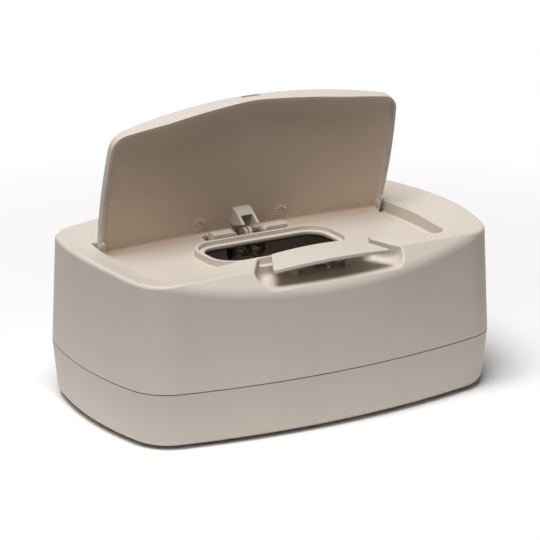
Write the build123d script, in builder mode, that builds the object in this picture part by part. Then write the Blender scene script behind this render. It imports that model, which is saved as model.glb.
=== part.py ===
"""Baby wipes box: a two-shell body with a sprung, latched dispensing lid.

Millimetres. +X is right, -Y is the front, +Z is up, and the box stands on z = 0.
The lid is drawn where the photograph shows it, open against its stop.
"""
from build123d import *
import math
import os

os.makedirs("parts", exist_ok=True)

# Plan of the body at the seam between tray and housing
half_length = 118.0      # centre to side, at the seam
half_depth = 75.2        # centre to front or rear, at the seam
long_bow_r = 423.0       # bow of the front and the rear
side_bow_r = 191.0       # bow of the two sides
plan_corner_r = 26.0     # rounding where they meet

# Heights
foot_proud = 1.0         # how far the feet hold the tray off the table
tray_height = 31.2       # tray bottom to tray rim
seam_gap = 0.6           # shadow line between the shells
shell_height = 60.4      # housing bottom to its flat outer top edge
top_fall = 0.015         # the top edge falls this much per mm towards the front

# Walls and drafts
wall = 2.2
tray_draft = 3.0         # inward lean of the tray wall at its bottom
tray_edge_r = 7.0        # rounded bottom edge of the tray
shell_draft = 2.6        # inward lean of the housing wall at its top
top_edge_r = 2.0         # soft outer top edge
recess_edge_r = 0.7      # soft edge round the lid's recess
rim_thickness = 2.7      # top skin around the recess, at its thinnest
lip_height = 4.0         # the tray's lip inside the housing
lip_thickness = 1.5
fit_gap = 0.3            # between faces that slide past each other

# Slanted brow at the front
brow_inset = 14.4        # where it meets the top, in from the front at the seam
brow_soft_r = 8.0         # soft bend from the brow into the front wall

# Lid and the recess that it closes into
side_border = 28.0       # side of the body to side of the lid
front_border = 15.2      # top front edge to the closed lid's front, at the middle
lid_rear_y = 37.0        # closed
lid_bow_r = 520.0        # bow of the lid's front edge
lid_side_bow = 2.0       # how far the middle of each side stands out past its ends
lid_corner_r = 10.0
lid_gap = 1.2            # recess wall to lid
lid_side_top = 88.0      # closed lid's top at its sides
lid_front_crown = 8.5    # rise to the middle along the front edge
lid_rear_crown = 3.0     # rise to the middle along the hinge
lid_wall = 1.6
lid_rear_wall = 1.8
lid_cove_r = 1.4         # soft inner edge between the lid's walls and its face
lid_floor_gap = 0.4      # closed lid's rim above the deck
rim_rise = 2.4           # the lid's front and side walls stop this much higher than its rear
rim_rise_y = 26.0        # where that begins, ahead of the hinge
rim_arch_half = 56.0     # arch in the rim of the lid's front wall, over the lever
rim_arch_rise = 6.4
rim_arch_r = 60.0        # soft bends of the arch
dish_in = 9.6            # lid's front edge to where the dished top levels out
dish_half = 52.0         # middle part of the dished top
deck_z = 81.1            # deck inside the recess
hinge_y = 32.0
hinge_z = 85.9
open_angle = 75.9        # closed to the open stop
hinge_pin_d = 2.6
hinge_pin_in = 1.0       # length inside the lid wall and its boss
hinge_pin_out = 3.0      # length inside the housing
pin_fit = 0.05           # running clearance on the radius
hinge_boss_r = 2.8
rear_round_r = 3.0       # rounded lower rear edge of the lid
swing_gap = 0.5          # trough to the turning rear edge
sill_depth = 6.0         # sloping sill on the deck, up to the foot of the open lid
sill_rise = 1.0
sill_rear_y = 28.0

# Collar round the dispensing opening
collar_half_width = 43.8
collar_front_y = -22.2
collar_rear_y = 20.3
collar_corner_r = 16.0
collar_height = 3.6
collar_wall = 2.2
insert_lip = 3.4         # how far the throat insert narrows the opening
insert_thickness = 1.6

# Finger scoop and release lever
scoop_rear_half = 36.0
scoop_front_half = 45.6  # where it cuts the top front edge, and down the front
scoop_floor_z = 82.7
scoop_corner_r = 4.0     # plan radius of its rear corners
scoop_low_r = 8.0        # rounding of its lower corners, seen from the front
scoop_floor_r = 3.0      # soft edge along its floor
scoop_rim_r = 1.2        # soft rim down the front
web = 1.8                # wall between recess and scoop
web_top_z = 89.0
lever_rear_half = 27.0
lever_front_half = 37.0
lever_gap = 1.2          # lid front to lever
lever_depth = 23.0       # rear edge to front edge
lever_tip_back = 4.0     # front corners behind the middle of the front edge
lever_rear_z = 96.5      # rear edge at the middle
lever_drop = 1.0         # rear edge to front edge
lever_crown_r = 221.0
lever_thickness = 1.9
lever_over = 6.0         # the leaf is drawn this much larger before it is trimmed
lever_edge_r = 0.5
lever_pin_d = 2.4
lever_pin_z = 87.6
lever_pin_ahead = 6.2    # pin ahead of the lid's front edge
knuckle_r = 2.4
knuckle_width = 5.0
knuckle_x = 12.0         # middle of each knuckle
knuckle_root = 2.4       # top of each knuckle below the leaf's rear edge
ear_width = 3.0
ear_gap = 0.4            # knuckle to ear
ear_r = 2.6
nose_half = 5.0          # latch nose on the lever's rear edge
nose_height = 1.8
nose_z = 94.8
nose_root = 2.2          # nose under the leaf
notch_half = 6.0         # oval latch notch in the lid's front wall
notch_height = 2.6
notch_depth = 0.8

# Wedge bracket on the lid, its slots in the deck, and the blocks beside them
bracket_half = 5.4
bracket_wall = 1.6
bracket_web_y = 21.8     # closed: front face of its web
bracket_web_z = 87.0     # closed: lower edge of its web
bracket_toe_y = 25.8     # closed: tip of the cheeks
bracket_toe_z = 77.2
bracket_heel_y = 31.4
slot_gap = 0.6
boss_r = 3.4             # two round bosses between the slots
boss_half = 2.8
boss_part = 0.5          # from the middle to each boss
boss_y = 27.6
boss_z = 83.0
block_inner_x = 8.6
block_outer_x = 23.8
block_front_y = 21.8
block_rear_y = 28.6
block_height = 5.6
block_round_r = 3.0

# Lid spring under the deck, on its own pin
spring_pin_d = 3.0
spring_pin_y = 27.6
spring_pin_z = 72.2
spring_ear_x = 8.4
spring_ear_r = 3.2

# Spring wires
wire_d = 1.0
coil_pitch = 1.6
coil_turns = 3
coil_clear = 0.4         # coil to its pin
lid_spring_leg = 6.5
lever_spring_leg = 4.2

# Feet
foot_d = 12.0
foot_thickness = 2.0
foot_in_x = 30.0         # foot centre in from the side
foot_in_y = 29.2         # and from the front or rear

brow_y = brow_inset - half_depth
lid_half_width = half_length - side_border
lid_front_y = brow_y + front_border
foot_x = half_length - foot_in_x
foot_y = half_depth - foot_in_y
seam_z = foot_proud + tray_height
shell_z = seam_z + seam_gap
top_z = shell_z + shell_height
lid_rim_z = deck_z + lid_floor_gap
lid_pin_r = hinge_pin_d / 2


def bowed_plan(plane, half_x, half_y, corner_r):
    """A closed plan of four bowed edges with rounded corners, on a plane."""
    fx, fy = 0.0, -half_y + long_bow_r
    sx, sy = half_x - side_bow_r, 0.0
    span = math.hypot(sx - fx, sy - fy)
    along = (long_bow_r**2 - side_bow_r**2 + span**2) / (2 * span)
    off = math.sqrt(long_bow_r**2 - along**2)
    ux, uy = (sx - fx) / span, (sy - fy) / span
    cx = fx + along * ux - off * uy
    cy = fy + along * uy + off * ux
    if cx < 0:
        cx = fx + along * ux + off * uy
        cy = fy + along * uy - off * ux
    cy = -abs(cy)
    with BuildSketch(plane) as plan:
        with BuildLine():
            ThreePointArc((-cx, cy), (0, -half_y), (cx, cy))
            ThreePointArc((cx, cy), (half_x, 0), (cx, -cy))
            ThreePointArc((cx, -cy), (0, half_y), (-cx, -cy))
            ThreePointArc((-cx, -cy), (-half_x, 0), (-cx, cy))
        make_face()
        fillet(plan.vertices(), corner_r)
    return plan.sketch


def body_plan(z, inset):
    """The body's plan at a height, drawn in by an inset."""
    return bowed_plan(Plane.XY.offset(z), half_length - inset, half_depth - inset, plan_corner_r - inset / 2)


def lid_plan(plane, grow, y0=0.0, rear=None):
    """The closed lid's plan, grown by a distance; y0 shifts it to another origin."""
    x = lid_half_width + grow
    y_rear = (lid_rear_y + grow if rear is None else rear) - y0
    y_front = lid_front_y - grow - y0
    r = lid_bow_r + grow
    y_corner = y_front + r - math.sqrt(r**2 - x**2)
    with BuildSketch(plane) as plan:
        with BuildLine():
            ThreePointArc((-x, y_corner), (0, y_front), (x, y_corner))
            ThreePointArc((x, y_corner), (x + lid_side_bow, (y_corner + y_rear) / 2), (x, y_rear))
            Line((x, y_rear), (-x, y_rear))
            ThreePointArc((-x, y_rear), (-x - lid_side_bow, (y_corner + y_rear) / 2), (-x, y_corner))
        make_face()
        fillet(plan.vertices().group_by(Axis.Y)[0], lid_corner_r + grow)
        fillet(plan.vertices().group_by(Axis.Y)[-1], 2.0)
    return plan.sketch


def crowned_lid_top(y0, z0, drop):
    """The space under the lid's crowned top, lowered by drop, seen from an origin."""
    x = half_length + 10
    low = lid_side_top - drop - z0 - 30
    faces = []
    fall = (lid_front_crown - lid_rear_crown) / (lid_rear_y - lid_front_y)
    for y in (lid_front_y - 20, lid_rear_y + 20):
        crown = lid_front_crown - fall * (y - lid_front_y)
        k = crown / lid_half_width**2
        side = lid_side_top + crown - k * x**2 - drop - z0
        with BuildSketch(Plane.XZ.offset(-(y - y0))) as face:
            with BuildLine():
                ThreePointArc((-x, side), (0, lid_side_top + crown - drop - z0), (x, side))
                Polyline((x, side), (x, low), (-x, low), (-x, side))
            make_face()
        faces.append(face.sketch.faces()[0])
    return loft(faces, ruled=True)


def top_space():
    """The space under the housing's top: a flat outer edge, dished in to the lid's edge."""
    low = shell_z - 5
    faces = []
    outside, edge, inside = half_length + 4, half_length - 6, lid_half_width + 2
    for x in (-outside, -edge, -inside, -dish_half, 0.0, dish_half, inside, edge, outside):
        share = min(1.0, (x / lid_half_width) ** 2)
        outer = abs(x) > lid_half_width + 3
        z_front = top_z if outer else lid_side_top + lid_front_crown * (1 - share)
        z_rear = top_z if outer else lid_side_top + lid_rear_crown * (1 - share)
        y_in_f, y_in_r = lid_front_y + dish_in, lid_rear_y
        pts = [
            (half_depth + 12, top_z + top_fall * half_depth),
            (half_depth - 4, top_z + top_fall * half_depth),
            (y_in_r, z_rear),
            (0, (z_front + z_rear) / 2),
            (y_in_f, z_front - (0 if outer else 0.3)),
            (brow_y, top_z + top_fall * brow_y),
            (-half_depth - 12, top_z + top_fall * brow_y),
        ]
        with BuildSketch(Plane.YZ.offset(x)) as face:
            with BuildLine():
                Spline(*pts)
                Polyline(pts[-1], (pts[-1][0], low), (pts[0][0], low), pts[0])
            make_face()
        faces.append(face.sketch.faces()[0])
    return loft(faces)


# Base tray: rounded bottom edge, lip that locates the housing
with BuildPart() as base_tray:
    loft(sections=[body_plan(foot_proud, tray_draft), body_plan(seam_z, 0)])
    fillet(base_tray.faces().sort_by(Axis.Z)[0].edges(), tray_edge_r)
    loft(
        sections=[body_plan(foot_proud + wall, tray_draft + wall + 1.6), body_plan(seam_z + 1, wall)],
        mode=Mode.SUBTRACT,
    )
    extrude(body_plan(seam_z - 3, wall - 0.2), amount=3)
    extrude(body_plan(seam_z - 3, wall + fit_gap), amount=3 + lip_height)
    extrude(
        body_plan(seam_z - 3.5, wall + fit_gap + lip_thickness),
        amount=8 + lip_height,
        mode=Mode.SUBTRACT,
    )
    with BuildSketch():
        with GridLocations(2 * foot_x, 2 * foot_y, 2, 2):
            Circle(foot_d / 2 + pin_fit)
    extrude(amount=foot_thickness, mode=Mode.SUBTRACT)
base_tray.part.label = "base_tray"
export_step(base_tray.part, "parts/base_tray.step")

# Space inside the housing, less what the deck, trough and scoop need
swing_r = max(
    math.hypot(lid_rear_y - hinge_y, hinge_z - lid_rim_z) - rear_round_r * 0.414,
    math.hypot(lid_rear_y - hinge_y, lid_side_top - hinge_z),
)
trough_z = hinge_z - swing_r - swing_gap
trough_front_y = block_rear_y + fit_gap
recess_rear_y = hinge_y + swing_gap + math.hypot(
    lid_rear_y - hinge_y, lid_side_top + lid_rear_crown - hinge_z
)
lever_pin_y = lid_front_y - lever_pin_ahead
lever_pin_half = knuckle_x + knuckle_width / 2 + ear_gap + ear_width
brow = Plane(origin=(0, brow_y, top_z + top_fall * brow_y), x_dir=(1, 0, 0), z_dir=(0, -1, 1))


def scoop_plan(z, grow):
    """The finger scoop's plan: flared sides, rear edge parallel to the lid's front."""
    rear_r = lid_bow_r + lid_gap + web - grow
    y_mid = lid_front_y - lid_gap - web + grow
    x = scoop_rear_half + grow
    y_rear = y_mid + rear_r - math.sqrt(rear_r**2 - x**2)
    flare = (scoop_front_half - scoop_rear_half) / (abs(brow_y) - abs(y_rear))
    y_out = -half_depth - 10
    x_out = x + flare * (y_rear - y_out)
    with BuildSketch(Plane.XY.offset(z)) as plan:
        with BuildLine():
            ThreePointArc((-x, y_rear), (0, y_mid), (x, y_rear))
            Polyline((x, y_rear), (x_out, y_out), (-x_out, y_out), (-x, y_rear))
        make_face()
        fillet(plan.vertices().group_by(Axis.Y)[-1], scoop_corner_r + grow)
    return plan.sketch


def scoop_front(grow):
    """The finger scoop seen from the front: upright sides and rounded lower corners."""
    low = scoop_floor_z - grow
    tall = 2 * (top_z - low)
    with BuildSketch(Plane.XZ.offset(half_depth + 12)) as face:
        with Locations((0, low + tall / 2)):
            RectangleRounded(2 * (scoop_front_half + grow), tall, scoop_low_r + grow)
    return face.sketch


def rounded_plan(z, half_x, y_front, y_rear, corner_r):
    """A rounded rectangle centred on x = 0."""
    with BuildSketch(Plane.XY.offset(z)) as plan:
        with Locations((0, (y_front + y_rear) / 2)):
            RectangleRounded(2 * half_x, y_rear - y_front, corner_r)
    return plan.sketch


def x_circle(x, y, z, r):
    """A circle facing +X."""
    with BuildSketch(Plane(origin=(x, y, z), x_dir=(0, 1, 0), z_dir=(1, 0, 0))) as face:
        Circle(r)
    return face.sketch


def lug_plan(x, y, z, r, y_root, z_root):
    """A lug's outline facing +X: round at its bore, square at its root."""
    with BuildSketch(Plane(origin=(x, y, z), x_dir=(0, 1, 0), z_dir=(1, 0, 0))) as face:
        Circle(r)
        with BuildLine():
            Polyline((-r, 0), (-r, z_root - z), (r + y_root, z_root - z), (r, 0), (-r, 0))
        make_face()
    return face.sketch


with BuildPart() as scoop:
    extrude(scoop_plan(scoop_floor_z, 0), amount=40)
    extrude(scoop_front(0), amount=-half_depth - 12, mode=Mode.INTERSECT)
    floor_edges = scoop.edges().filter_by(
        lambda e: e.center().Z < scoop_floor_z + 0.01 and e.center().Y > brow_y
    )
    fillet(floor_edges, scoop_floor_r)

with BuildPart() as hollow:
    loft(sections=[body_plan(shell_z - 1, wall), body_plan(top_z, shell_draft + wall)])
    split(bisect_by=brow.offset(-wall), keep=Keep.BOTTOM)
    split(bisect_by=Plane.XY.offset(lid_side_top - rim_thickness), keep=Keep.BOTTOM)
    extrude(
        lid_plan(Plane.XY.offset(deck_z - wall), lid_gap + wall, rear=recess_rear_y + wall),
        amount=30,
        mode=Mode.SUBTRACT,
    )
    with BuildSketch(Plane.XY.offset(trough_z - wall)):
        with Locations((0, (trough_front_y + recess_rear_y) / 2)):
            Rectangle(2 * (lid_half_width + lid_gap + wall), recess_rear_y - trough_front_y + 2 * wall)
    extrude(amount=30, mode=Mode.SUBTRACT)
    extrude(scoop_plan(scoop_floor_z - wall, wall), amount=30, mode=Mode.SUBTRACT)
    for side in (-1, 1):
        extrude(
            x_circle(side * (lid_half_width + lid_gap), hinge_y, hinge_z, lid_pin_r + wall),
            amount=side * (hinge_pin_out + wall),
            mode=Mode.SUBTRACT,
        )

# Upper housing: shell, brow, recess with its deck and trough, collar and scoop
under_top = top_space()
with BuildPart() as upper_housing:
    loft(
        sections=[
            body_plan(shell_z, 0),
            body_plan(top_z + 4, shell_draft * (shell_height + 4) / shell_height),
        ]
    )
    split(bisect_by=brow, keep=Keep.BOTTOM)
    brow_face = upper_housing.faces().filter_by(lambda f: f.is_planar and f.normal_at().Y < -0.5)[0]
    fillet(brow_face.edges().sort_by(Axis.Z)[0], brow_soft_r)
    add(under_top, mode=Mode.INTERSECT)
    crest = upper_housing.edges().filter_by(lambda e: e.center().Z > top_z - 3 and e.length > 10)
    fillet(crest, top_edge_r)
    # Finger scoop, with a soft rim down the front
    add(scoop.part, mode=Mode.SUBTRACT)
    rims = upper_housing.edges().filter_by(
        lambda e: abs(e.center().X) < scoop_front_half + 1
        and e.center().Y < brow_y - 1
        and e.center().Z > scoop_floor_z - 1
        and e.length > 3
    )
    fillet(rims, scoop_rim_r)
    # The recess for the lid, with a shallow trough for the lid's rear edge
    extrude(lid_plan(Plane.XY.offset(deck_z), lid_gap, rear=recess_rear_y), amount=40, mode=Mode.SUBTRACT)
    recess_rim = upper_housing.edges().filter_by(
        lambda e: e.center().Z > deck_z + 3
        and abs(e.center().X) < lid_half_width + lid_gap + lid_side_bow + 0.1
        and lid_front_y - lid_gap - 0.3 < e.center().Y < recess_rear_y + 0.1
        and abs(e.tangent_at(0.5).Z) < 0.8
    )
    fillet(recess_rim, recess_edge_r)
    add(hollow.part, mode=Mode.SUBTRACT)
    with BuildSketch(Plane.XY.offset(trough_z)):
        with Locations((0, (trough_front_y + recess_rear_y) / 2)):
            Rectangle(2 * (lid_half_width + lid_gap), recess_rear_y - trough_front_y)
    extrude(amount=10, mode=Mode.SUBTRACT)
    # The lowered web behind the lever, and the ears for its pin
    with BuildSketch(Plane.XY.offset(web_top_z)):
        with Locations((0, lid_front_y - lid_gap)):
            Rectangle(2 * scoop_rear_half - 2, 4 * web)
    extrude(amount=20, mode=Mode.SUBTRACT)
    for side in (-1, 1):
        extrude(
            lug_plan(side * lever_pin_half, lever_pin_y, lever_pin_z, ear_r, 0, scoop_floor_z - 1),
            amount=-side * ear_width,
        )
        extrude(
            x_circle(side * (lever_pin_half + 1), lever_pin_y, lever_pin_z, lever_pin_d / 2 + pin_fit),
            amount=-side * (ear_width + 2),
            mode=Mode.SUBTRACT,
        )
    # Collar and the throat through it
    extrude(
        rounded_plan(deck_z, collar_half_width, collar_front_y, collar_rear_y, collar_corner_r),
        amount=collar_height,
    )
    collar_in = (collar_half_width - collar_wall, collar_front_y + collar_wall, collar_rear_y - collar_wall)
    extrude(
        rounded_plan(deck_z, *collar_in, collar_corner_r - collar_wall),
        amount=collar_height,
        mode=Mode.SUBTRACT,
    )
    shoulder = 1.4
    extrude(
        rounded_plan(deck_z - 10, collar_in[0] - shoulder, collar_in[1] + shoulder, collar_in[2] - shoulder,
                     collar_corner_r - collar_wall - shoulder),
        amount=11,
        mode=Mode.SUBTRACT,
    )
    # A sill slopes up to the foot of the open lid
    for side in (-1, 1):
        with BuildSketch(Plane.YZ.offset(side * (block_outer_x + 1.5))):
            with BuildLine():
                Polyline(
                    (sill_rear_y - sill_depth, deck_z - 1), (sill_rear_y - sill_depth, deck_z),
                    (sill_rear_y, deck_z + sill_rise), (sill_rear_y, deck_z - 1),
                    (sill_rear_y - sill_depth, deck_z - 1),
                )
            make_face()
        extrude(amount=side * (lid_half_width - hinge_pin_in - 1 - block_outer_x - 1.5))
    # Slots for the bracket's cheeks, the two bosses between them, and the spring ears below
    for side in (-1, 1):
        with BuildSketch(Plane.XY.offset(trough_z - 5)):
            with Locations((side * (bracket_half - bracket_wall / 2), (bracket_web_y + bracket_heel_y) / 2)):
                Rectangle(bracket_wall + 2 * slot_gap, bracket_heel_y - bracket_web_y + 3.2)
        extrude(amount=12, mode=Mode.SUBTRACT)
    for side in (-1, 1):
        extrude(
            lug_plan(side * boss_part, boss_y, boss_z, boss_r, 0, trough_z - 1),
            amount=side * (boss_half - fit_gap - boss_part),
        )
        extrude(
            lug_plan(side * spring_ear_x, spring_pin_y, spring_pin_z, spring_ear_r, 0, trough_z - wall + 0.5),
            amount=side * wall,
        )
        extrude(
            x_circle(side * (spring_ear_x - 1), spring_pin_y, spring_pin_z, spring_pin_d / 2 + pin_fit),
            amount=side * (wall + 2),
            mode=Mode.SUBTRACT,
        )
        extrude(
            x_circle(side * (lid_half_width + lid_gap - 1), hinge_y, hinge_z, lid_pin_r + pin_fit),
            amount=side * (hinge_pin_out + 1),
            mode=Mode.SUBTRACT,
        )
upper_housing.part.label = "upper_housing"
export_step(upper_housing.part, "parts/upper_housing.step")

# Throat insert: the pale lip inside the collar
with BuildPart() as throat_insert:
    grip = fit_gap / 2
    extrude(
        rounded_plan(deck_z, collar_in[0] - grip, collar_in[1] + grip, collar_in[2] - grip,
                     collar_corner_r - collar_wall - grip),
        amount=insert_thickness,
    )
    extrude(
        rounded_plan(deck_z, collar_in[0] - insert_lip, collar_in[1] + insert_lip, collar_in[2] - insert_lip,
                     collar_corner_r - collar_wall - insert_lip),
        amount=insert_thickness,
        mode=Mode.SUBTRACT,
    )
    fillet(throat_insert.edges().group_by(Axis.Z)[-1], 0.5)
throat_insert.part.label = "throat_insert"
export_step(throat_insert.part, "parts/throat_insert.step")

# Lid, drawn closed and then turned to its open stop
hinge_line = Axis((0, hinge_y, hinge_z), (1, 0, 0))
lid_space = crowned_lid_top(0, 0, 0)
lid_hollow_space = crowned_lid_top(0, 0, lid_wall)
with BuildPart() as lid_hollow:
    extrude(lid_plan(Plane.XY.offset(lid_rim_z - 1), -lid_wall, rear=lid_rear_y - lid_rear_wall), amount=40)
    add(lid_hollow_space, mode=Mode.INTERSECT)
    fillet(lid_hollow.faces().sort_by(Axis.Z)[-1].edges(), lid_cove_r)
    for side in (-1, 1):
        extrude(
            x_circle(side * (lid_half_width - lid_wall + 1), hinge_y, hinge_z, hinge_boss_r),
            amount=-side * (hinge_pin_in - lid_wall + 2),
            mode=Mode.SUBTRACT,
        )
with BuildPart() as lid:
    extrude(lid_plan(Plane.XY.offset(lid_rim_z), 0), amount=40)
    add(lid_space, mode=Mode.INTERSECT)
    fillet(lid.faces().sort_by(Axis.Z)[0].edges().sort_by(Axis.Y)[-1], rear_round_r)
    add(lid_hollow.part, mode=Mode.SUBTRACT)
    # The front and side walls are shallower than the rear, and the front one arches over the lever's pin
    with BuildSketch(Plane.YZ.offset(-half_length)):
        with BuildLine():
            Polyline(
                (-half_depth, lid_rim_z - 1), (rim_rise_y + rim_rise / 2, lid_rim_z - 1),
                (rim_rise_y, lid_rim_z + rim_rise), (-half_depth, lid_rim_z + rim_rise),
                (-half_depth, lid_rim_z - 1),
            )
        make_face()
    extrude(amount=2 * half_length, mode=Mode.SUBTRACT)
    arch_low = lid_rim_z + rim_rise
    with BuildSketch(Plane.XZ.offset(-lid_front_y - 2 * lid_corner_r)):
        with BuildLine():
            Polyline(
                (-half_length, arch_low - 1), (-half_length, arch_low - 0.02),
                (-rim_arch_half, arch_low - 0.02), (0, arch_low + rim_arch_rise),
                (rim_arch_half, arch_low - 0.02), (half_length, arch_low - 0.02),
                (half_length, arch_low - 1), (-half_length, arch_low - 1),
            )
        arch = make_face()
        fillet(arch.vertices().filter_by(lambda v: abs(v.X) < rim_arch_half + 1), rim_arch_r)
    extrude(amount=4 * lid_corner_r, mode=Mode.SUBTRACT)
    # Clear of the blocks at the hinge
    with BuildSketch(Plane.XY.offset(lid_rim_z - 1)):
        with Locations((0, lid_rear_y)):
            Rectangle(2 * (block_outer_x + 1.5), 4 * lid_rear_wall)
    extrude(amount=lid_side_top - lid_wall - lid_rim_z + 1.2, mode=Mode.SUBTRACT)
    for side in (-1, 1):
        extrude(
            x_circle(side * (lid_half_width + 1), hinge_y, hinge_z, lid_pin_r + pin_fit),
            amount=-side * (hinge_pin_in + 1),
            mode=Mode.SUBTRACT,
        )
    with BuildSketch(Plane(origin=(0, lid_front_y - 1, nose_z), x_dir=(1, 0, 0), z_dir=(0, 1, 0))):
        SlotOverall(2 * notch_half, notch_height)
    extrude(amount=1 + notch_depth, mode=Mode.SUBTRACT)

# Wedge bracket on the lid's inner face: two cheeks joined by a web
with BuildPart() as lid_bracket:
    with BuildSketch(Plane.YZ.offset(-bracket_half)):
        with BuildLine():
            Polyline(
                (bracket_web_y, lid_side_top + 10),
                (bracket_web_y, bracket_web_z),
                (bracket_toe_y, bracket_toe_z),
                (bracket_heel_y, lid_side_top - lid_wall),
                (bracket_heel_y, lid_side_top + 10),
                (bracket_web_y, lid_side_top + 10),
            )
        make_face()
    extrude(amount=2 * bracket_half)
    with BuildSketch(Plane.YZ.offset(-bracket_half + bracket_wall)):
        with Locations((bracket_web_y + bracket_wall + 20, lid_side_top - 20)):
            Rectangle(40, 60)
    extrude(amount=2 * (bracket_half - bracket_wall), mode=Mode.SUBTRACT)
    add(lid_hollow_space, mode=Mode.INTERSECT)


def write_open(piece, name):
    """Turn a piece drawn with the lid closed to the open stop, and write it."""
    turned = piece.rotate(hinge_line, -open_angle)
    turned.label = name
    export_step(turned, f"parts/{name}.step")


write_open(lid.part, "lid")
write_open(lid_bracket.part, "lid_bracket")

# Hinge pins, fixed in the lid and turning in the housing
for side, name in ((-1, "hinge_pin_left"), (1, "hinge_pin_right")):
    with BuildPart() as hinge_pin:
        extrude(
            x_circle(side * (lid_half_width - hinge_pin_in + 0.1), hinge_y, hinge_z, lid_pin_r),
            amount=side * (hinge_pin_in + lid_gap + hinge_pin_out - 0.4),
        )
        chamfer(hinge_pin.edges().filter_by(GeomType.CIRCLE), 0.2)
    hinge_pin.part.label = name
    export_step(hinge_pin.part, f"parts/{name}.step")

# Blocks on the deck beside the bracket
for side, name in ((-1, "hinge_block_left"), (1, "hinge_block_right")):
    with BuildPart() as block:
        with BuildSketch(Plane.XY.offset(deck_z)):
            with Locations((side * (block_inner_x + block_outer_x) / 2, (block_front_y + block_rear_y) / 2)):
                Rectangle(block_outer_x - block_inner_x, block_rear_y - block_front_y)
        extrude(amount=block_height)
        top_edges = block.faces().sort_by(Axis.Z)[-1].edges()
        inner_edge = top_edges.sort_by(Axis.X)[0 if side > 0 else -1]
        fillet(inner_edge, block_round_r)
        fillet(block.edges().filter_by(Axis.Z), 0.5)
    block.part.label = name
    export_step(block.part, f"parts/{name}.step")


def torsion_spring(axis_y, axis_z, pin_d, leg):
    """A torsion spring on an X axis; each turn is two half circles that meet along Y."""
    r = pin_d / 2 + coil_clear + wire_d / 2
    x = -coil_turns * coil_pitch / 2
    swing = math.hypot(coil_pitch / 4, r)
    with BuildPart() as spring:
        with BuildLine() as path:
            Line((x, axis_y - leg, axis_z + r), (x, axis_y, axis_z + r))
            for turn in range(2 * coil_turns + 1):
                up = 1 if turn % 2 == 0 else -1
                start = (x, axis_y, axis_z + up * r)
                side = (x + coil_pitch / 4, axis_y + up * swing, axis_z)
                x += coil_pitch / 2
                ThreePointArc(start, side, (x, axis_y, axis_z - up * r))
            Line((x, axis_y, axis_z - r), (x, axis_y - leg, axis_z - r))
        with BuildSketch(Plane(origin=path.line @ 0, z_dir=path.line % 0)):
            Circle(wire_d / 2)
        sweep()
    return spring.part


lid_spring = torsion_spring(spring_pin_y, spring_pin_z, spring_pin_d, lid_spring_leg)
lid_spring.label = "lid_spring"
export_step(lid_spring, "parts/lid_spring.step")
lever_spring = torsion_spring(lever_pin_y, lever_pin_z, lever_pin_d, lever_spring_leg)
lever_spring.label = "lever_spring"
export_step(lever_spring, "parts/lever_spring.step")
print("least gap between spring turns", round(coil_pitch - wire_d, 2), "mm")

for name, half, y, z, d in (
    ("spring_pin", spring_ear_x + wall, spring_pin_y, spring_pin_z, spring_pin_d),
    ("lever_pin", lever_pin_half, lever_pin_y, lever_pin_z, lever_pin_d),
):
    with BuildPart() as pin:
        extrude(x_circle(-half, y, z, d / 2), amount=2 * half)
        chamfer(pin.edges().filter_by(GeomType.CIRCLE), 0.2)
    pin.part.label = name
    export_step(pin.part, f"parts/{name}.step")

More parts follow.
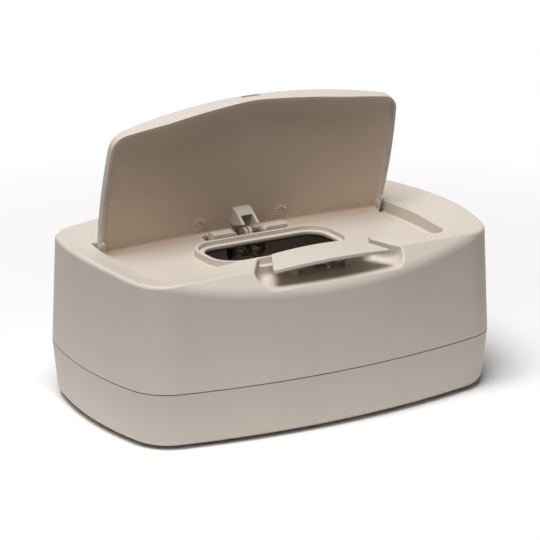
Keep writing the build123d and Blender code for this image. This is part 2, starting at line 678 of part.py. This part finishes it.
# Release lever: a crowned leaf that slopes to the front, on two knuckles
lever_rear_y = lid_front_y - lever_gap
with BuildPart() as release_lever:
    slope = lever_drop / lever_depth
    y_start = lever_rear_y + lever_over
    z_start = lever_rear_z + lever_over * slope
    span = lever_front_half + lever_over
    sag = lever_crown_r - math.sqrt(lever_crown_r**2 - span**2)
    with BuildSketch(Plane.XZ.offset(-y_start)):
        with BuildLine():
            ThreePointArc((-span, z_start - sag), (0, z_start), (span, z_start - sag))
            Line((span, z_start - sag), (span, z_start - sag - lever_thickness))
            ThreePointArc(
                (span, z_start - sag - lever_thickness),
                (0, z_start - lever_thickness),
                (-span, z_start - sag - lever_thickness),
            )
            Line((-span, z_start - sag - lever_thickness), (-span, z_start - sag))
        make_face()
    extrude(amount=(lever_depth + 2 * lever_over) * math.hypot(1, slope), dir=(0, -1, -slope))
    rear_r = lid_bow_r + lever_gap
    y_side = lever_rear_y + rear_r - math.sqrt(rear_r**2 - lever_rear_half**2)
    y_tip = lever_rear_y - lever_depth + lever_tip_back
    with BuildSketch(Plane.XY.offset(lever_rear_z - 30)):
        with BuildLine():
            ThreePointArc((-lever_rear_half, y_side), (0, lever_rear_y), (lever_rear_half, y_side))
            Polyline((lever_rear_half, y_side), (lever_front_half, y_tip))
            ThreePointArc(
                (lever_front_half, y_tip), (0, lever_rear_y - lever_depth), (-lever_front_half, y_tip)
            )
            Polyline((-lever_front_half, y_tip), (-lever_rear_half, y_side))
        make_face()
        fillet(vertices(), 1.5)
    extrude(amount=60, mode=Mode.INTERSECT)
    fillet(release_lever.faces().sort_by(Axis.Z)[-1].edges(), lever_edge_r)
    for side in (-1, 1):
        with BuildSketch(Plane.YZ.offset(side * knuckle_x - knuckle_width / 2)):
            with Locations((lever_pin_y, lever_pin_z)):
                Circle(knuckle_r)
            with BuildLine():
                Polyline(
                    (lever_pin_y - knuckle_r, lever_pin_z),
                    (lever_pin_y + knuckle_r, lever_pin_z),
                    (lever_pin_y + knuckle_r, lever_rear_z - knuckle_root),
                    (lever_pin_y - knuckle_r, lever_rear_z - knuckle_root),
                    (lever_pin_y - knuckle_r, lever_pin_z),
                )
            make_face()
        extrude(amount=knuckle_width)
        extrude(
            x_circle(side * knuckle_x - knuckle_width, lever_pin_y, lever_pin_z, lever_pin_d / 2 + pin_fit),
            amount=2 * knuckle_width,
            mode=Mode.SUBTRACT,
        )
    nose_low, nose_high = nose_z - nose_height / 2, nose_z + nose_height / 2
    nose_in, nose_tip = lever_rear_y - nose_root, lid_front_y - fit_gap
    leaf_in = lever_rear_z - lever_thickness / 2
    with BuildSketch(Plane.YZ.offset(-nose_half)):
        with BuildLine():
            Polyline(
                (nose_in, leaf_in), (nose_in, nose_low), (nose_tip, nose_low), (nose_tip, nose_high),
                (lever_rear_y - 0.2, nose_high), (lever_rear_y - 0.2, leaf_in), (nose_in, leaf_in),
            )
        make_face()
    extrude(amount=2 * nose_half)
release_lever.part.label = "release_lever"
export_step(release_lever.part, "parts/release_lever.step")

# Four feet in shallow pockets
with BuildPart() as feet:
    with BuildSketch():
        with GridLocations(2 * foot_x, 2 * foot_y, 2, 2):
            Circle(foot_d / 2)
    extrude(amount=foot_thickness)
    chamfer(feet.edges().group_by(Axis.Z)[0], 0.3)
feet.part.label = "feet"
export_step(feet.part, "parts/feet.step")
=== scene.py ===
"""Looks of a wipes box: moulded finishes, small trim, studio light and camera.

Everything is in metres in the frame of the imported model: +X right, -Y front, +Z up.
"""
import logging
import math
from dataclasses import dataclass, replace
from enum import Enum
from typing import Dict, List, Optional, Sequence, Tuple, Union

import bmesh
import bpy
from mathutils import Matrix, Vector


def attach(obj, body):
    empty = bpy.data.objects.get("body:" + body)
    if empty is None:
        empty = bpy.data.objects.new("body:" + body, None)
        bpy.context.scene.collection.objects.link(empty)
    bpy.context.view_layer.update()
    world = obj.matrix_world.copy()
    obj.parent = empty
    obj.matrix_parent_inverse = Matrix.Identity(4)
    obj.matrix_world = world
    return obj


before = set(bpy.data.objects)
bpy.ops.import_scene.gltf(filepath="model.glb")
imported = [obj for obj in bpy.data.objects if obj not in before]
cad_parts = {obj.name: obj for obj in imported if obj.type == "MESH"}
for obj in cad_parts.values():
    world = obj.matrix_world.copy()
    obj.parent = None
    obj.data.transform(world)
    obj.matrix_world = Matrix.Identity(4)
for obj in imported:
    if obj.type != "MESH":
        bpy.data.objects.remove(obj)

logging.basicConfig(level=logging.INFO, format="%(message)s")
LOG = logging.getLogger("wipes_box")

Colour = Tuple[float, float, float]
Paint = Tuple[float, float, float, float]
Place = Tuple[float, float, float]
Tree = bpy.types.NodeTree
Socket = bpy.types.NodeSocket
Value = Union[float, Paint, Socket]

MM = 0.001

# The curve between display values and linear light
BYTE_TOP = 255
TOE_END = 0.04045
TOE_SLOPE = 12.92
CURVE_OFFSET = 0.055
CURVE_POWER = 2.4


class Body(Enum):
    """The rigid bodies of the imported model."""

    TRAY = "tray"
    HOUSING = "housing"
    LID = "lid"
    LEVER = "lever"


class Side(Enum):
    """The two sides of the box, by the sign of X."""

    LEFT = -1
    RIGHT = 1


class Group(Enum):
    """The shader node groups that finishes share, by name."""

    MOULDED_SKIN = "moulded_skin"
    BOX_INSIDE_PAINTED_SHADE = "box_inside_painted_shade"
    LID_FACE_PAINTED_SHADE = "lid_face_painted_shade"


def linear(red: int, green: int, blue: int) -> Colour:
    """Turn an 8-bit display colour into linear light.

    Args:
        red: Red, 0 to 255.
        green: Green, 0 to 255.
        blue: Blue, 0 to 255.

    Returns:
        The three linear channels.
    """
    def channel(value: int) -> float:
        """Turn one channel into linear light.

        Args:
            value: The channel, 0 to 255.

        Returns:
            The channel, 0 to 1.
        """
        shown = value / BYTE_TOP
        if shown <= TOE_END:
            return shown / TOE_SLOPE
        return ((shown + CURVE_OFFSET) / (1 + CURVE_OFFSET)) ** CURVE_POWER

    return channel(red), channel(green), channel(blue)


def grey(level: float) -> Paint:
    """Return an opaque grey of one linear level."""
    return level, level, level, 1.0


def feed(tree: Tree, slot: Socket, value: Value) -> None:
    """Give a node's input its value.

    Args:
        tree: The tree that holds the node.
        slot: The input.
        value: A socket to link to it, or a fixed value.
    """
    if isinstance(value, Socket):
        tree.links.new(value, slot)
    else:
        slot.default_value = value


def math_node(tree: Tree, operation: str, *values: Value) -> Socket:
    """Add a Math node.

    Args:
        tree: The tree that gets the node.
        operation: What it does, such as MULTIPLY.
        values: Its inputs, in order.

    Returns:
        Its result.
    """
    node = tree.nodes.new("ShaderNodeMath")
    node.operation = operation
    for slot, value in zip(node.inputs, values):
        feed(tree, slot, value)
    return node.outputs[0]


def all_of(tree: Tree, *masks: Socket) -> Socket:
    """Join masks into one.

    Args:
        tree: The tree that holds them.
        masks: Two or more masks.

    Returns:
        A mask that is 1 only where every one of them is 1.
    """
    whole = masks[0]
    for mask in masks[1:]:
        whole = math_node(tree, "MULTIPLY", whole, mask)
    return whole


def map_range(
    tree: Tree, value: Socket, given: Tuple[Value, Value] = (0.0, 1.0), made: Tuple[Value, Value] = (0.0, 1.0)
) -> Socket:
    """Add a Map Range node, which holds its result at both ends.

    Args:
        tree: The tree that gets the node.
        value: What is mapped.
        given: The range that it comes in.
        made: The range that it is brought to.

    Returns:
        The mapped value.
    """
    node = tree.nodes.new("ShaderNodeMapRange")
    feed(tree, node.inputs["Value"], value)
    for label, limit in zip(("From Min", "From Max", "To Min", "To Max"), (*given, *made)):
        feed(tree, node.inputs[label], limit)
    return node.outputs["Result"]


def mix_colour(tree: Tree, share: Socket, first: Value, second: Value, blend: str = "MIX") -> Socket:
    """Add a Mix node for colours.

    Args:
        tree: The tree that gets the node.
        share: How much of the second colour is laid on the first.
        first: The colour underneath.
        second: The colour on top.
        blend: How it is laid on, such as MIX or MULTIPLY.

    Returns:
        The mixed colour.
    """
    node = tree.nodes.new("ShaderNodeMix")
    node.data_type = "RGBA"
    node.blend_type = blend
    for label, value in (("Factor", share), ("A", first), ("B", second)):
        feed(tree, node.inputs[label], value)
    return node.outputs["Result"]


def noise(tree: Tree, where: Socket, scale: Value, detail: float, twist: float = 0.0) -> Socket:
    """Add a Noise Texture node.

    Args:
        tree: The tree that gets the node.
        where: The place on the part.
        scale: Features per metre.
        detail: Number of finer layers.
        twist: How far the pattern is bent out of shape.

    Returns:
        The noise, about 0 to 1.
    """
    node = tree.nodes.new("ShaderNodeTexNoise")
    for label, value in (("Vector", where), ("Scale", scale), ("Detail", detail), ("Distortion", twist)):
        feed(tree, node.inputs[label], value)
    return node.outputs["Fac"]


def place_on_part(tree: Tree) -> Socket:
    """Return the place on the part, which stays with it as it moves."""
    return tree.nodes.new("ShaderNodeTexCoord").outputs["Object"]


def axes_of(tree: Tree, place: Socket) -> List[Socket]:
    """Split a place into its X, Y and Z.

    Args:
        tree: The tree that gets the node.
        place: The place.

    Returns:
        The three coordinates.
    """
    split = tree.nodes.new("ShaderNodeSeparateXYZ")
    feed(tree, split.inputs["Vector"], place)
    return [split.outputs[axis] for axis in "XYZ"]


def seen_directly(tree: Tree) -> Socket:
    """Tell the rays that show a surface from those that only carry its light on.

    Args:
        tree: A material's or a world's own tree, not a group's.

    Returns:
        1 for camera, glossy and transmission rays, and 0 for all others.
    """
    rays = tree.nodes.new("ShaderNodeLightPath").outputs
    mirrored = math_node(tree, "MAXIMUM", rays["Is Camera Ray"], rays["Is Glossy Ray"])
    return math_node(tree, "MAXIMUM", mirrored, rays["Is Transmission Ray"])


class Groups:
    """Builds each shared shader node group once.

    Attributes:
        cloud_scale: Patches of drifting colour per metre.
        cloud_detail: Finer layers in them.
        cloud_span: The stretch of that noise that counts as its full swing.
        smear_scale: Patches of handling shine per metre.
        smear_detail: Finer layers in them.
        smear_twist: How far they are bent out of shape.
        grain_detail: Finer layers in the grain.
        noise_mean: The middle of a noise.
    """

    cloud_scale: float = 22.0
    cloud_detail: float = 4.0
    cloud_span: Tuple[float, float] = (0.3, 0.7)
    smear_scale: float = 55.0
    smear_detail: float = 5.0
    smear_twist: float = 0.6
    grain_detail: float = 2.0
    noise_mean: float = 0.5
    _made: Dict[Group, Tree] = {}

    @classmethod
    def get(cls, kind: Group) -> Tree:
        """Find a group, or build it at its first use.

        Args:
            kind: Which group.

        Returns:
            The group.
        """
        builders = {
            Group.MOULDED_SKIN: cls._moulded_skin,
            Group.BOX_INSIDE_PAINTED_SHADE: cls._box_inside_painted_shade,
            Group.LID_FACE_PAINTED_SHADE: cls._lid_face_painted_shade,
        }
        if kind not in cls._made:
            tree = bpy.data.node_groups.new(kind.value, "ShaderNodeTree")
            builders[kind](tree)
            cls._made[kind] = tree
        return cls._made[kind]

    @classmethod
    def _moulded_skin(cls, tree: Tree) -> None:
        """Build the look of a moulded surface: mottle, fine grain and handling shine.

        Args:
            tree: The empty group, which will put out a colour, a roughness and a bump height.
        """
        for way, label, kind in (
            ("INPUT", "Colour", "NodeSocketColor"),
            ("INPUT", "Mottle", "NodeSocketFloat"),
            ("INPUT", "Roughness", "NodeSocketFloat"),
            ("INPUT", "Grain Scale", "NodeSocketFloat"),
            ("INPUT", "Shine", "NodeSocketFloat"),
            ("OUTPUT", "Colour", "NodeSocketColor"),
            ("OUTPUT", "Roughness", "NodeSocketFloat"),
            ("OUTPUT", "Height", "NodeSocketFloat"),
        ):
            tree.interface.new_socket(name=label, in_out=way, socket_type=kind)
        given = tree.nodes.new("NodeGroupInput").outputs
        out = tree.nodes.new("NodeGroupOutput").inputs
        where = place_on_part(tree)

        # The colour drifts by the mottle, to both sides of its own value
        cloud = noise(tree, where, cls.cloud_scale, cls.cloud_detail)
        dark = math_node(tree, "SUBTRACT", 1.0, given["Mottle"])
        light = math_node(tree, "ADD", 1.0, given["Mottle"])
        tint = tree.nodes.new("ShaderNodeVectorMath")
        tint.operation = "SCALE"
        feed(tree, tint.inputs[0], given["Colour"])
        feed(tree, tint.inputs["Scale"], map_range(tree, cloud, cls.cloud_span, (dark, light)))
        feed(tree, out["Colour"], tint.outputs["Vector"])

        smear = noise(tree, where, cls.smear_scale, cls.smear_detail, cls.smear_twist)
        shift = math_node(tree, "SUBTRACT", smear, cls.noise_mean)
        gloss = math_node(tree, "MULTIPLY_ADD", shift, given["Shine"], given["Roughness"])
        feed(tree, out["Roughness"], gloss)

        grain = noise(tree, where, given["Grain Scale"], cls.grain_detail)
        feed(tree, out["Height"], grain)

    @staticmethod
    def _box_inside_painted_shade(tree: Tree) -> None:
        """Build a mask of the space inside the upper shell, where the taupe is darkened as painted shade.

        Args:
            tree: The empty group, which will put out 1 in that space and 0 elsewhere.
        """
        tree.interface.new_socket(name="Inside", in_out="OUTPUT", socket_type="NodeSocketFloat")
        out = tree.nodes.new("NodeGroupOutput").inputs
        x, y, z = axes_of(tree, place_on_part(tree))
        aside = math_node(tree, "ABSOLUTE", x)
        square = math_node(tree, "MULTIPLY", aside, aside)
        # The front and rear walls draw in towards the sides
        bow = 1 / (2 * Shells.bow_radius)
        reach = math_node(tree, "MULTIPLY_ADD", square, bow, math_node(tree, "ABSOLUTE", y))
        inside = all_of(
            tree,
            math_node(tree, "LESS_THAN", aside, Shells.shade_half_width),
            math_node(tree, "LESS_THAN", z, Shells.shade_top),
            math_node(tree, "GREATER_THAN", z, Shells.shade_bottom),
            math_node(tree, "LESS_THAN", reach, Shells.shade_half_depth),
        )
        feed(tree, out["Inside"], inside)

    @staticmethod
    def _lid_face_painted_shade(tree: Tree) -> None:
        """Build a mask of the lid's inner face, whose taupe is tinted warmer and darker as painted shade from
        light bounced off the deck.

        Args:
            tree: The empty group, which will put out 1 on that face and 0 on the rim and outside.
        """
        tree.interface.new_socket(name="Inside", in_out="OUTPUT", socket_type="NodeSocketFloat")
        out = tree.nodes.new("NodeGroupOutput").inputs
        # Turn the place back to the shut lid, about its hinge
        shut = tree.nodes.new("ShaderNodeVectorRotate")
        shut.rotation_type = "X_AXIS"
        shut.inputs["Center"].default_value = (0, Lid.hinge_y, Lid.hinge_z)
        shut.inputs["Angle"].default_value = Lid.open_angle
        feed(tree, shut.inputs["Vector"], place_on_part(tree))
        x, y, z = axes_of(tree, shut.outputs["Vector"])
        square = math_node(tree, "MULTIPLY", x, x)
        # The crown falls from front to rear and to both sides
        behind = math_node(tree, "SUBTRACT", y, Lid.front_y)
        crown = math_node(tree, "MULTIPLY_ADD", behind, -Lid.crown_fall, Lid.front_crown)
        share = math_node(tree, "MULTIPLY_ADD", square, -1 / Lid.half_width ** 2, 1.0)
        top = math_node(tree, "MULTIPLY_ADD", crown, share, Lid.side_top - Lid.wall / 2)
        bow = 1 / (2 * Lid.bow_radius)
        front = math_node(tree, "MULTIPLY_ADD", square, bow, Lid.front_y + Lid.wall)
        inside = all_of(
            tree,
            math_node(tree, "LESS_THAN", z, top),
            math_node(tree, "GREATER_THAN", y, front),
            math_node(tree, "LESS_THAN", math_node(tree, "ABSOLUTE", x), Lid.half_width - Lid.wall),
        )
        feed(tree, out["Inside"], inside)


@dataclass(frozen=True)
class Finish:
    """One finish: a shader built on the shared moulded skin.

    Attributes:
        name: The material's name.
        colour: Linear base colour.
        roughness: Mean roughness.
        mottle: Share by which the colour drifts.
        grain: Grains per metre in the fine texture.
        depth: Height of the grain.
        shine: How far roughness drifts.
        metallic: 1 for bare metal.
        sheen: Soft edge brightening of a rubbery surface.
        inside: Share of each colour channel that is left where the mask is 1, which paints shade there.
        mask: The group that says where the shade is painted, or None for an even colour.
    """

    name: str
    colour: Colour
    roughness: float = 0.5
    mottle: float = 0.02
    grain: float = 1500.0
    depth: float = 0.02 * MM
    shine: float = 0.08
    metallic: float = 0.0
    sheen: float = 0.0
    inside: Colour = (1.0, 1.0, 1.0)
    mask: Optional[Group] = None

    def material(self) -> bpy.types.Material:
        """Find this finish's material, or build it at its first use.

        Returns:
            The material.
        """
        found = bpy.data.materials.get(self.name)
        if found:
            return found
        made = bpy.data.materials.new(self.name)
        made.use_nodes = True
        tree = made.node_tree
        shader = tree.nodes["Principled BSDF"]
        shader.inputs["Metallic"].default_value = self.metallic
        shader.inputs["Sheen Weight"].default_value = self.sheen
        skin = tree.nodes.new("ShaderNodeGroup")
        skin.node_tree = Groups.get(Group.MOULDED_SKIN)
        for label, value in (
            ("Colour", (*self.colour, 1)),
            ("Mottle", self.mottle),
            ("Roughness", self.roughness),
            ("Grain Scale", self.grain),
            ("Shine", self.shine),
        ):
            skin.inputs[label].default_value = value
        colour = skin.outputs["Colour"]
        if self.mask:
            where = tree.nodes.new("ShaderNodeGroup")
            where.node_tree = Groups.get(self.mask)
            # Where the mask is 1 the colour is tinted by its share: painted shade
            colour = mix_colour(tree, where.outputs["Inside"], colour, (*self.inside, 1), "MULTIPLY")
        bump = tree.nodes.new("ShaderNodeBump")
        bump.inputs["Distance"].default_value = self.depth
        feed(tree, bump.inputs["Height"], skin.outputs["Height"])
        feed(tree, shader.inputs["Base Color"], colour)
        feed(tree, shader.inputs["Roughness"], skin.outputs["Roughness"])
        feed(tree, shader.inputs["Normal"], bump.outputs["Normal"])
        return made


TAUPE = Finish("taupe_moulding", linear(206, 196, 185))
# Darkened inside the upper shell, where shade falls: painted shade
TAUPE_SHELL_PAINTED_SHADE = replace(TAUPE, name="taupe_shell_painted_shade", inside=(0.25, 0.21, 0.17), mask=Group.BOX_INSIDE_PAINTED_SHADE)
# Warmer and darker on the lid's inner face: painted shade standing in for light bounced off the deck
TAUPE_LID_PAINTED_SHADE = replace(TAUPE, name="taupe_lid_painted_shade", inside=(1.06, 0.96, 0.87), mask=Group.LID_FACE_PAINTED_SHADE)
# A lighter copy of the lid's taupe for its moulded ticks: painted highlight
TAUPE_TICK_PAINTED_HIGHLIGHT = Finish("taupe_tick_painted_highlight", linear(226, 217, 206), roughness=0.4, grain=2500)
TAUPE_LIP = Finish("taupe_lip", linear(212, 202, 190), roughness=0.42, grain=900)
FOOT_PAD = Finish("foot_pad", linear(150, 142, 132), roughness=0.75, grain=700, sheen=0.2)
GROUND_STEEL = Finish(
    "ground_steel", linear(196, 194, 190), roughness=0.3, mottle=0.05, grain=400, metallic=1.0
)
SPRING_STEEL = Finish(
    "spring_steel", linear(170, 166, 160), roughness=0.36, mottle=0.08, grain=600, metallic=1.0
)
BLACK_STEEL = Finish(
    "black_steel", linear(128, 116, 104), roughness=0.6, mottle=0.1, grain=800, metallic=0.5
)


def dress(names: Sequence[str], finish: Finish) -> None:
    """Give CAD nodes a finish.

    Args:
        names: Node names.
        finish: The finish they get.
    """
    for name in names:
        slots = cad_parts[name].data.materials
        slots.clear()
        slots.append(finish.material())
        LOG.info("%s: %s", name, finish.name)


def object_from(mesh: bmesh.types.BMesh, name: str, material: bpy.types.Material) -> bpy.types.Object:
    """Turn a bmesh into an object at the origin.

    Args:
        mesh: The mesh, which is freed.
        name: The object's name.
        material: Its material.

    Returns:
        The new object.
    """
    data = bpy.data.meshes.new(name)
    mesh.to_mesh(data)
    mesh.free()
    data.materials.append(material)
    made = bpy.data.objects.new(name, data)
    bpy.context.scene.collection.objects.link(made)
    return made


@dataclass
class Shells:
    """The tray, the housing and what is fixed to them.

    The sizes say where the inside of the upper shell is darkened with painted shade.

    Attributes:
        shade_half_width: Middle of the box to the side of the painted shade.
        shade_half_depth: Middle of the box to its front or rear.
        shade_bottom: Its lower end, above the seam between the shells.
        shade_top: Its upper end, inside the deck's thickness.
        shade_top: Its upper end, inside the deck's thickness.
        bow_radius: Radius of the bow in the front and rear walls.
        plain: The nodes that have the plain finish.
    """

    shade_half_width: float = 84.0 * MM
    shade_half_depth: float = 71.6 * MM
    shade_bottom: float = 33.6 * MM
    shade_top: float = 79.6 * MM
    bow_radius: float = 423.0 * MM
    plain: Tuple[str, ...] = ("base_tray", "hinge_block_left", "hinge_block_right")

    def build(self) -> None:
        """Dress the shells."""
        dress(("upper_housing",), TAUPE_SHELL_PAINTED_SHADE)
        dress(self.plain, TAUPE)
        dress(("throat_insert",), TAUPE_LIP)
        dress(("feet",), FOOT_PAD)
        dress(("lever_pin", "hinge_pin_left", "hinge_pin_right"), GROUND_STEEL)
        dress(("lever_spring",), SPRING_STEEL)
        dress(("spring_pin", "lid_spring"), BLACK_STEEL)


@dataclass
class Lid:
    """The lid, its bracket and the two rings of ticks moulded on its inner face.

    Places are those on the shut lid.

    Attributes:
        hinge_y: The hinge's line, from front to rear.
        hinge_z: The hinge's line, from the table up.
        open_angle: How far the lid stands open at rest.
        half_width: Middle of the lid to its side.
        front_y: The front edge at its middle.
        bow_radius: Radius of the bow in the front edge.
        side_top: The top along both sides, from the table up.
        front_crown: How far the top's middle stands above that at the front.
        crown_fall: Height that the crown loses per length, from front to rear.
        wall: Thickness of the lid's walls.
        ring_x: Middle of the lid to a ring's centre.
        ring_y: A ring's centre, from front to rear.
        ring_z: A ring's centre on the inner face, from the table up.
        ring_radius: A ring's centre to the middle of a tick.
        ticks: Ticks in a ring.
        tick_size: A tick's length, width and height.
        tick_bevel: Width of the bevel along a tick's edges.
        bevel_steps: Steps in that bevel.
        sharp_angle: Edges that turn by more than this are bevelled.
        dot_radius: Radius of the round dot in a ring's middle.
        dot_rise: How far its centre stands above the ring's.
        dot_steps: Its steps round, and from pole to pole.
    """

    hinge_y: float = 32.0 * MM
    hinge_z: float = 85.9 * MM
    open_angle: float = math.radians(75.9)
    half_width: float = 90.0 * MM
    front_y: float = -45.6 * MM
    bow_radius: float = 520.0 * MM
    side_top: float = 88.0 * MM
    front_crown: float = 8.5 * MM
    crown_fall: float = 0.0666
    wall: float = 1.6 * MM
    ring_x: float = 26.4 * MM
    ring_y: float = 28.8 * MM
    ring_z: float = 89.66 * MM
    ring_radius: float = 3.2 * MM
    ticks: int = 12
    tick_size: Tuple[float, float, float] = (1.7 * MM, 0.6 * MM, 1.0 * MM)
    tick_bevel: float = 0.14 * MM
    bevel_steps: int = 2
    sharp_angle: float = 1.2
    dot_radius: float = 0.45 * MM
    dot_rise: float = 0.05 * MM
    dot_steps: Tuple[int, int] = (16, 8)

    def _ring(self, side: Side) -> bpy.types.Object:
        """Mould one ring of ticks on the inner face of the open lid.

        Args:
            side: Which of the two rings.

        Returns:
            The ring.
        """
        mesh = bmesh.new()
        centre = Matrix.Translation((side.value * self.ring_x, self.ring_y, self.ring_z))
        out = Matrix.Translation((self.ring_radius, 0, 0))
        size = Matrix.Diagonal((*self.tick_size, 1))
        for tick in range(self.ticks):
            turn = Matrix.Rotation(math.tau * tick / self.ticks, 4, "Z")
            bmesh.ops.create_cube(mesh, size=1, matrix=centre @ turn @ out @ size)
        dot = centre @ Matrix.Translation((0, 0, self.dot_rise))
        round_steps, pole_steps = self.dot_steps
        bmesh.ops.create_uvsphere(
            mesh, u_segments=round_steps, v_segments=pole_steps, radius=self.dot_radius, matrix=dot
        )
        ridges = [edge for edge in mesh.edges if edge.calc_face_angle(0) > self.sharp_angle]
        bmesh.ops.bevel(
            mesh,
            geom=ridges,
            offset=self.tick_bevel,
            segments=self.bevel_steps,
            profile=0.5,
            affect="EDGES",
            material=-1,
        )
        hinge = Matrix.Translation((0, self.hinge_y, self.hinge_z))
        opened = hinge @ Matrix.Rotation(-self.open_angle, 4, "X") @ hinge.inverted()
        bmesh.ops.transform(mesh, matrix=opened, verts=mesh.verts)
        bmesh.ops.recalc_face_normals(mesh, faces=mesh.faces)
        ring = object_from(mesh, f"tick_ring_{side.name.lower()}", TAUPE_TICK_PAINTED_HIGHLIGHT.material())
        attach(ring, Body.LID.value)
        LOG.info("%s: %d ticks", ring.name, self.ticks)
        return ring

    def build(self) -> None:
        """Dress the lid and mould its rings."""
        dress(("lid",), TAUPE_LID_PAINTED_SHADE)
        dress(("lid_bracket",), TAUPE)
        for side in Side:
            self._ring(side)


@dataclass
class Lever:
    """The release lever."""

    def build(self) -> None:
        """Dress the lever."""
        dress(("release_lever",), TAUPE)


@dataclass(frozen=True)
class Lamp:
    """One square soft lamp.

    Attributes:
        name: Its name.
        place: Where its middle hangs.
        size: Its side.
        power: Its power in watts.
    """

    name: str
    place: Place
    size: float
    power: float


@dataclass
class Studio:
    """Floor, lamps, world and camera.

    Attributes:
        azimuth: Camera direction, clockwise from the front, in degrees.
        elevation: Camera height above the level, in degrees.
        place: Where the camera stands.
        lens: Focal length in millimetres.
        sensor: Width of the camera's sensor in millimetres.
        view_end: How far the camera sees.
        floor_size: Side of the square floor.
        floor_white: The floor's level where it is seen directly.
        floor_bounce: Its level for the light that it throws back near the box.
        floor_dim: The same far from the box.
        bounce_near: Distance from the middle where that light begins to fail.
        bounce_far: Distance where it has failed.
        floor_near: Distance where the shadow begins to fade out.
        floor_far: Distance where the floor is the backdrop's plain white.
        floor_roughness: Roughness of the floor.
        floor_specular: How much the floor mirrors.
        sky: Level of the even light from all round.
        lamps: The soft lamps.
        target: Where the lamps are aimed.
    """

    azimuth: float = -30.35
    elevation: float = 17.84
    place: Place = (-0.8821, -1.5055, 0.6303)
    lens: float = 220.4
    sensor: float = 36.0
    view_end: float = 50.0
    floor_size: float = 12.0
    floor_white: float = 0.96
    floor_bounce: float = 0.96
    floor_dim: float = 0.08
    bounce_near: float = 0.17
    bounce_far: float = 0.36
    floor_near: float = 0.18
    floor_far: float = 0.5
    floor_roughness: float = 0.9
    floor_specular: float = 0.1
    sky: float = 0.03
    lamps: Tuple[Lamp, ...] = (Lamp("key", (-0.5, -0.36, 1.9), 1.1, 46.0),)
    target: Place = (0.0, 0.0, 0.07)

    def _floor_paint(self) -> bpy.types.Material:
        """Build the floor's material.

        Returns:
            White that keeps the shadow near the box and throws little light back far from it.
        """
        paint = bpy.data.materials.new("floor_paint")
        paint.use_nodes = True
        tree = paint.node_tree
        shader = tree.nodes["Principled BSDF"]
        shader.inputs["Roughness"].default_value = self.floor_roughness
        shader.inputs["Specular IOR Level"].default_value = self.floor_specular
        seen = seen_directly(tree)
        away = tree.nodes.new("ShaderNodeVectorMath")
        away.operation = "LENGTH"
        feed(tree, away.inputs[0], place_on_part(tree))
        distance = away.outputs["Value"]
        fall = map_range(tree, distance, (self.bounce_near, self.bounce_far))
        bounce = mix_colour(tree, fall, grey(self.floor_bounce), grey(self.floor_dim))
        feed(tree, shader.inputs["Base Color"], mix_colour(tree, seen, bounce, grey(self.floor_white)))
        # Beyond the shadow the floor is the plain white of the backdrop
        fade = map_range(tree, distance, (self.floor_near, self.floor_far))
        backdrop = tree.nodes.new("ShaderNodeEmission")
        blend = tree.nodes.new("ShaderNodeMixShader")
        feed(tree, blend.inputs["Fac"], all_of(tree, fade, seen))
        feed(tree, blend.inputs[1], shader.outputs[0])
        feed(tree, blend.inputs[2], backdrop.outputs[0])
        feed(tree, tree.nodes["Material Output"].inputs["Surface"], blend.outputs[0])
        return paint

    def _floor(self) -> None:
        """Lay the floor."""
        mesh = bmesh.new()
        bmesh.ops.create_grid(mesh, x_segments=1, y_segments=1, size=self.floor_size / 2)
        floor = object_from(mesh, "floor", self._floor_paint())

    def _world(self) -> None:
        """Light the world evenly, and show it white to the camera."""
        world = bpy.data.worlds.new("studio")
        bpy.context.scene.world = world
        world.use_nodes = True
        tree = world.node_tree
        glow = tree.nodes["Background"]
        glow.inputs["Color"].default_value = grey(1.0)
        level = map_range(tree, seen_directly(tree), made=(self.sky, 1.0))
        feed(tree, glow.inputs["Strength"], level)

    def _lamps(self) -> None:
        """Hang the soft lamps, each aimed at the box."""
        for lamp in self.lamps:
            light = bpy.data.lights.new(lamp.name, "AREA")
            light.shape = "SQUARE"
            light.size = lamp.size
            light.energy = lamp.power
            hung = bpy.data.objects.new(lamp.name, light)
            hung.location = lamp.place
            aim = Vector(self.target) - Vector(lamp.place)
            hung.rotation_euler = aim.to_track_quat("-Z", "Y").to_euler()
            bpy.context.scene.collection.objects.link(hung)

    def _camera(self) -> None:
        """Set the camera where the photograph was taken from."""
        data = bpy.data.cameras.new("camera")
        data.lens = self.lens
        data.sensor_width = self.sensor
        data.clip_end = self.view_end
        camera = bpy.data.objects.new("camera", data)
        turn = math.radians(-self.azimuth)
        drop = math.radians(self.elevation)
        look = Vector((math.sin(turn) * math.cos(drop), math.cos(turn) * math.cos(drop), -math.sin(drop)))
        camera.location = self.place
        camera.rotation_euler = look.to_track_quat("-Z", "Y").to_euler()
        bpy.context.scene.collection.objects.link(camera)
        bpy.context.scene.camera = camera

    def build(self) -> None:
        """Set up the whole studio."""
        self._floor()
        self._world()
        self._lamps()
        self._camera()
        bpy.context.scene.view_settings.view_transform = "Standard"


def main() -> None:
    """Build the looks, in order."""
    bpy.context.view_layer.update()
    for part in (Shells(), Lid(), Lever(), Studio()):
        part.build()
        LOG.info("%s done", type(part).__name__)


if __name__ == "__main__":
    main()
